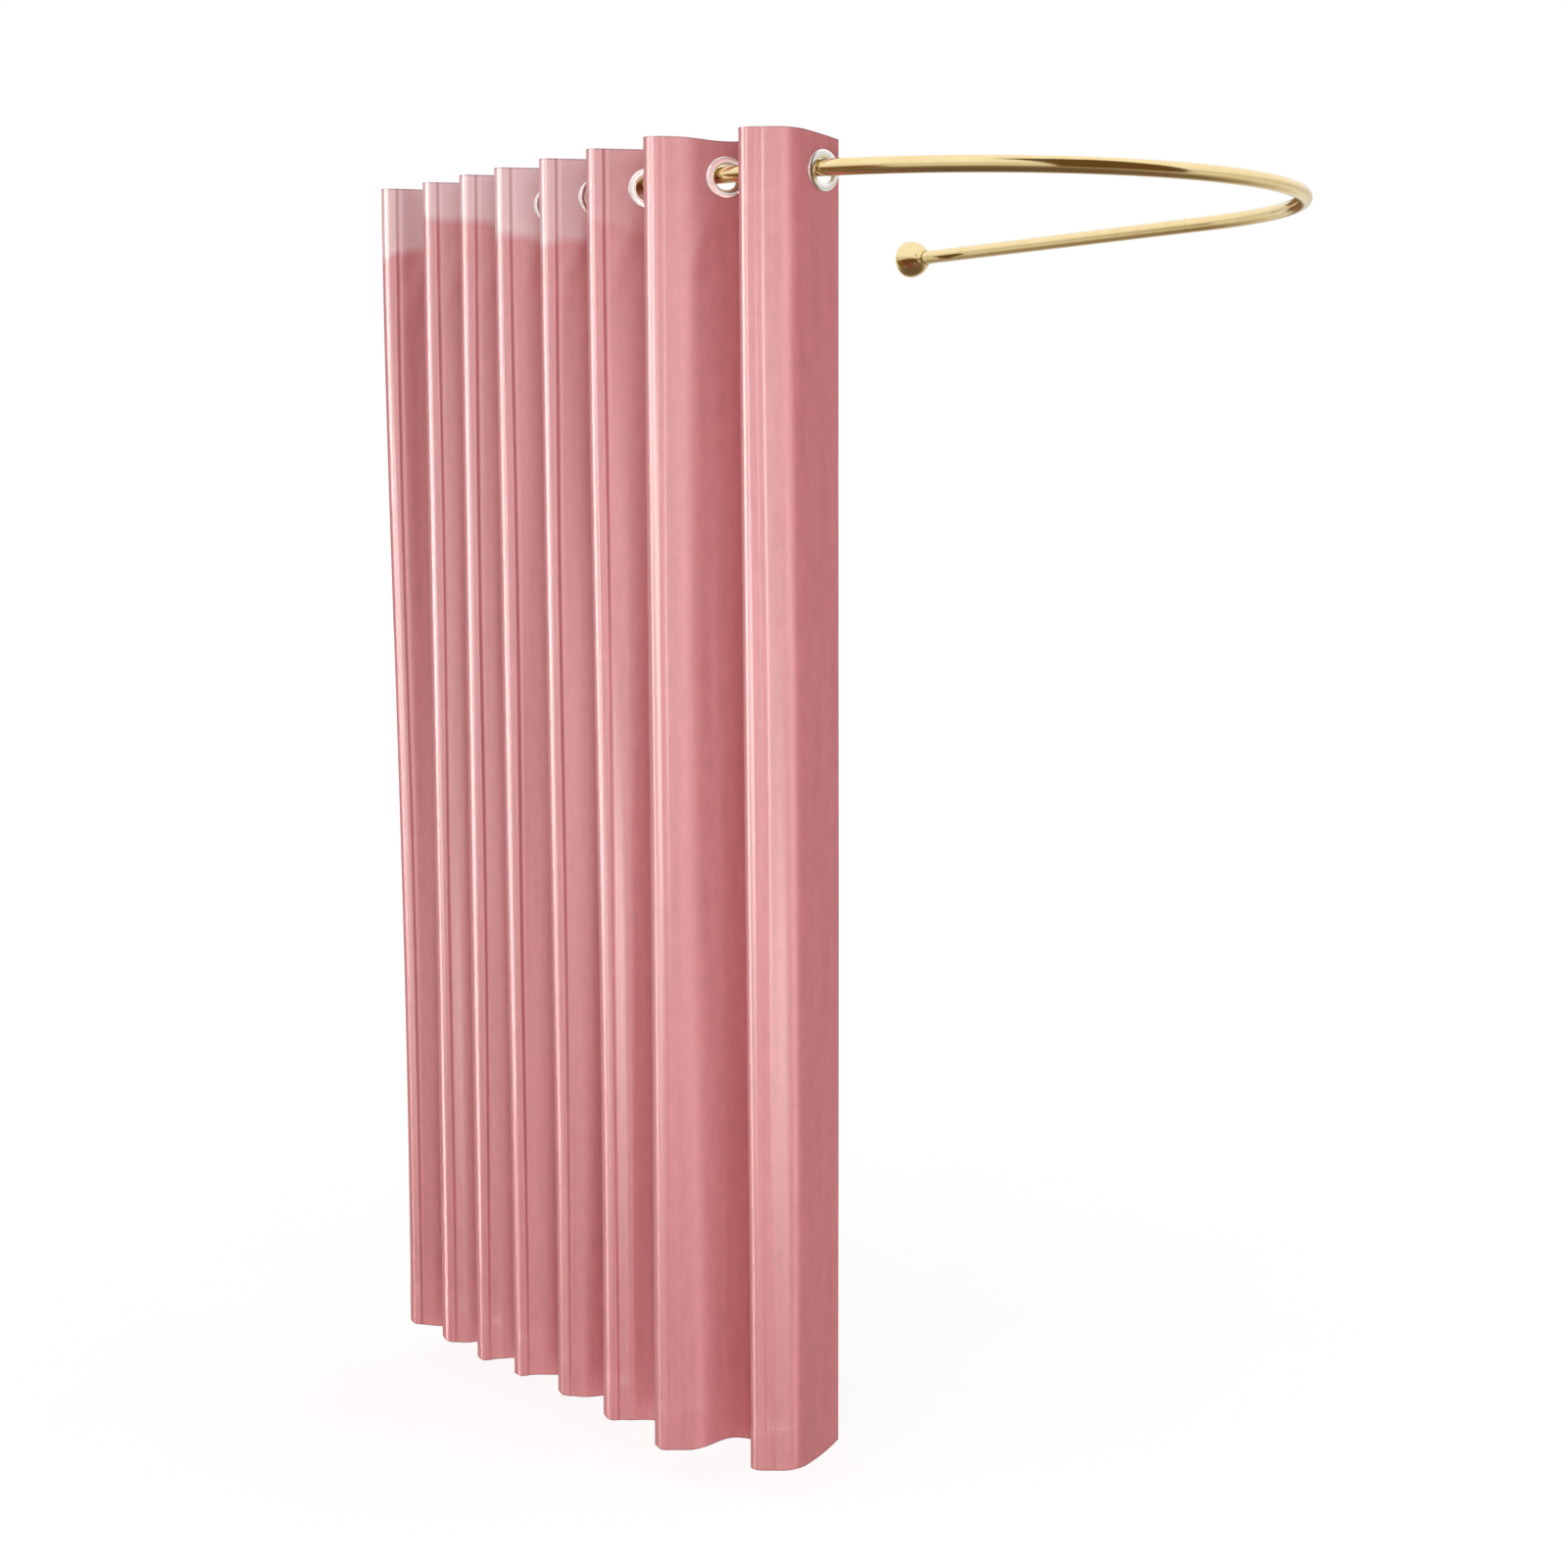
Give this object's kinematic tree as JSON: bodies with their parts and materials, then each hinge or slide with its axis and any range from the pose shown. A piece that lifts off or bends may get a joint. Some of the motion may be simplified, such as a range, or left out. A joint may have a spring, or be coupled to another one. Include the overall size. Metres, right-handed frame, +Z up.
{
  "type": "wall-mounted fitting room curtain rail",
  "caption": "Polished gold U-shaped curtain rail that stands out from a wall, with a pink eyelet curtain that slides round it to close off a changing space.",
  "frame": {"origin": "on the wall's face, midway between the two wall plates, at the height of the rail's axis", "axes": "+Z up, -Y out from the wall into the room, +X along the wall to the right when facing the wall"},
  "size_m": [1.2599, 1.465, 2],
  "materials": {
    "rail_gold": "polished",
    "eyelet_silver": "polished",
    "bare_steel": "satin",
    "curtain_cloth": "matte"
  },
  "bodies": {
    "rail": {"rail_left_tube": "rail_gold", "rail_right_tube": "rail_gold", "rail_front_bend": "rail_gold", "joiner_left": "bare_steel", "joiner_left_screw_1": "bare_steel", "joiner_left_screw_2": "bare_steel", "wall_plate_left": "bare_steel", "wall_plate_left_screw": "bare_steel", "joiner_right": "bare_steel", "joiner_right_screw_1": "bare_steel", "joiner_right_screw_2": "bare_steel", "wall_plate_right": "bare_steel", "wall_plate_right_screw": "bare_steel", "eyelet_6b_face": "eyelet_silver", "eyelet_6b_back": "eyelet_silver", "curtain_side": "curtain_cloth", "curtain_corner_valley": "curtain_cloth"},
    "cover_left": {"cover_left": "rail_gold"},
    "cover_right": {"cover_right": "rail_gold"},
    "eyelet_1a": {"eyelet_1a_face": "eyelet_silver", "eyelet_1a_back": "eyelet_silver"},
    "eyelet_1b": {"eyelet_1b_face": "eyelet_silver", "eyelet_1b_back": "eyelet_silver"},
    "eyelet_2a": {"eyelet_2a_face": "eyelet_silver", "eyelet_2a_back": "eyelet_silver"},
    "eyelet_2b": {"eyelet_2b_face": "eyelet_silver", "eyelet_2b_back": "eyelet_silver"},
    "eyelet_3a": {"eyelet_3a_face": "eyelet_silver", "eyelet_3a_back": "eyelet_silver"},
    "eyelet_3b": {"eyelet_3b_face": "eyelet_silver", "eyelet_3b_back": "eyelet_silver"},
    "eyelet_4a": {"eyelet_4a_face": "eyelet_silver", "eyelet_4a_back": "eyelet_silver"},
    "eyelet_4b": {"eyelet_4b_face": "eyelet_silver", "eyelet_4b_back": "eyelet_silver"},
    "eyelet_5a": {"eyelet_5a_face": "eyelet_silver", "eyelet_5a_back": "eyelet_silver"},
    "eyelet_5b": {"eyelet_5b_face": "eyelet_silver", "eyelet_5b_back": "eyelet_silver"},
    "eyelet_6a": {"eyelet_6a_face": "eyelet_silver", "eyelet_6a_back": "eyelet_silver"},
    "eyelet_7a": {"eyelet_7a_face": "eyelet_silver", "eyelet_7a_back": "eyelet_silver", "curtain_fold_7": "curtain_cloth"},
    "eyelet_7b": {"eyelet_7b_face": "eyelet_silver", "eyelet_7b_back": "eyelet_silver", "curtain_front_valley": "curtain_cloth"},
    "eyelet_8a": {"eyelet_8a_face": "eyelet_silver", "eyelet_8a_back": "eyelet_silver", "curtain_leading_fold": "curtain_cloth"},
    "eyelet_8b": {"eyelet_8b_face": "eyelet_silver", "eyelet_8b_back": "eyelet_silver"}
  },
  "joints": [
    {"name": "cover_left_slide", "type": "slide", "parent": "rail", "child": "cover_left", "axis": [0, -1, 0], "range_m": [0, 0.035]},
    {"name": "cover_right_slide", "type": "slide", "parent": "rail", "child": "cover_right", "axis": [0, -1, 0], "range_m": [0, 0.035]},
    {"name": "side_draw", "type": "slide", "parent": "rail", "child": "eyelet_1a", "axis": [0, -1, 0], "range_m": [0, 0.2973], "deforming": ["curtain_side"]},
    {"name": "eyelet_1b_slide", "type": "slide", "parent": "rail", "child": "eyelet_1b", "axis": [0, -1, 0], "range_m": [0, 0.2729]},
    {"name": "eyelet_2a_slide", "type": "slide", "parent": "rail", "child": "eyelet_2a", "axis": [0, -1, 0], "range_m": [0, 0.2469]},
    {"name": "eyelet_2b_slide", "type": "slide", "parent": "rail", "child": "eyelet_2b", "axis": [0, -1, 0], "range_m": [0, 0.222]},
    {"name": "eyelet_3a_slide", "type": "slide", "parent": "rail", "child": "eyelet_3a", "axis": [0, -1, 0], "range_m": [0, 0.1938]},
    {"name": "eyelet_3b_slide", "type": "slide", "parent": "rail", "child": "eyelet_3b", "axis": [0, -1, 0], "range_m": [0, 0.1686]},
    {"name": "eyelet_4a_slide", "type": "slide", "parent": "rail", "child": "eyelet_4a", "axis": [0, -1, 0], "range_m": [0, 0.1458]},
    {"name": "eyelet_4b_slide", "type": "slide", "parent": "rail", "child": "eyelet_4b", "axis": [0, -1, 0], "range_m": [0, 0.1194]},
    {"name": "eyelet_5a_slide", "type": "slide", "parent": "rail", "child": "eyelet_5a", "axis": [0, -1, 0], "range_m": [0, 0.086]},
    {"name": "eyelet_5b_slide", "type": "slide", "parent": "rail", "child": "eyelet_5b", "axis": [0, -1, 0], "range_m": [0, 0.0617]},
    {"name": "eyelet_6a_slide", "type": "slide", "parent": "rail", "child": "eyelet_6a", "axis": [0, -1, 0], "range_m": [0, 0.0268]},
    {"name": "front_draw", "type": "hinge", "parent": "rail", "child": "eyelet_7a", "pos_m": [0, -0.89, 0], "axis": [0, 0, 1], "range_deg": [0, 7], "deforming": ["curtain_corner_valley"]},
    {"name": "fold_7_turn", "type": "hinge", "parent": "eyelet_7a", "child": "eyelet_7b", "pos_m": [0, -0.89, 0], "axis": [0, 0, 1], "range_deg": [0, 13.1], "deforming": ["curtain_fold_7"]},
    {"name": "front_valley_turn", "type": "hinge", "parent": "eyelet_7b", "child": "eyelet_8a", "pos_m": [0, -0.89, 0], "axis": [0, 0, 1], "range_deg": [0, 12.1], "deforming": ["curtain_front_valley"]},
    {"name": "leading_fold_turn", "type": "hinge", "parent": "eyelet_8a", "child": "eyelet_8b", "pos_m": [0, -0.89, 0], "axis": [0, 0, 1], "range_deg": [0, 17.1], "deforming": ["curtain_leading_fold"]}
  ],
  "couplings": [
    {"joint": "eyelet_1b_slide", "follows": "side_draw", "ratio": 0.91617},
    {"joint": "eyelet_2a_slide", "follows": "side_draw", "ratio": 0.82874},
    {"joint": "eyelet_2b_slide", "follows": "side_draw", "ratio": 0.74491},
    {"joint": "eyelet_3a_slide", "follows": "side_draw", "ratio": 0.6503},
    {"joint": "eyelet_3b_slide", "follows": "side_draw", "ratio": 0.56527},
    {"joint": "eyelet_4a_slide", "follows": "side_draw", "ratio": 0.48862},
    {"joint": "eyelet_4b_slide", "follows": "side_draw", "ratio": 0.4},
    {"joint": "eyelet_5a_slide", "follows": "side_draw", "ratio": 0.28743},
    {"joint": "eyelet_5b_slide", "follows": "side_draw", "ratio": 0.20599},
    {"joint": "eyelet_6a_slide", "follows": "side_draw", "ratio": 0.08862},
    {"joint": "fold_7_turn", "follows": "front_draw", "ratio": 1.8571},
    {"joint": "front_valley_turn", "follows": "front_draw", "ratio": 1.7143},
    {"joint": "leading_fold_turn", "follows": "front_draw", "ratio": 2.4286}
  ]
}
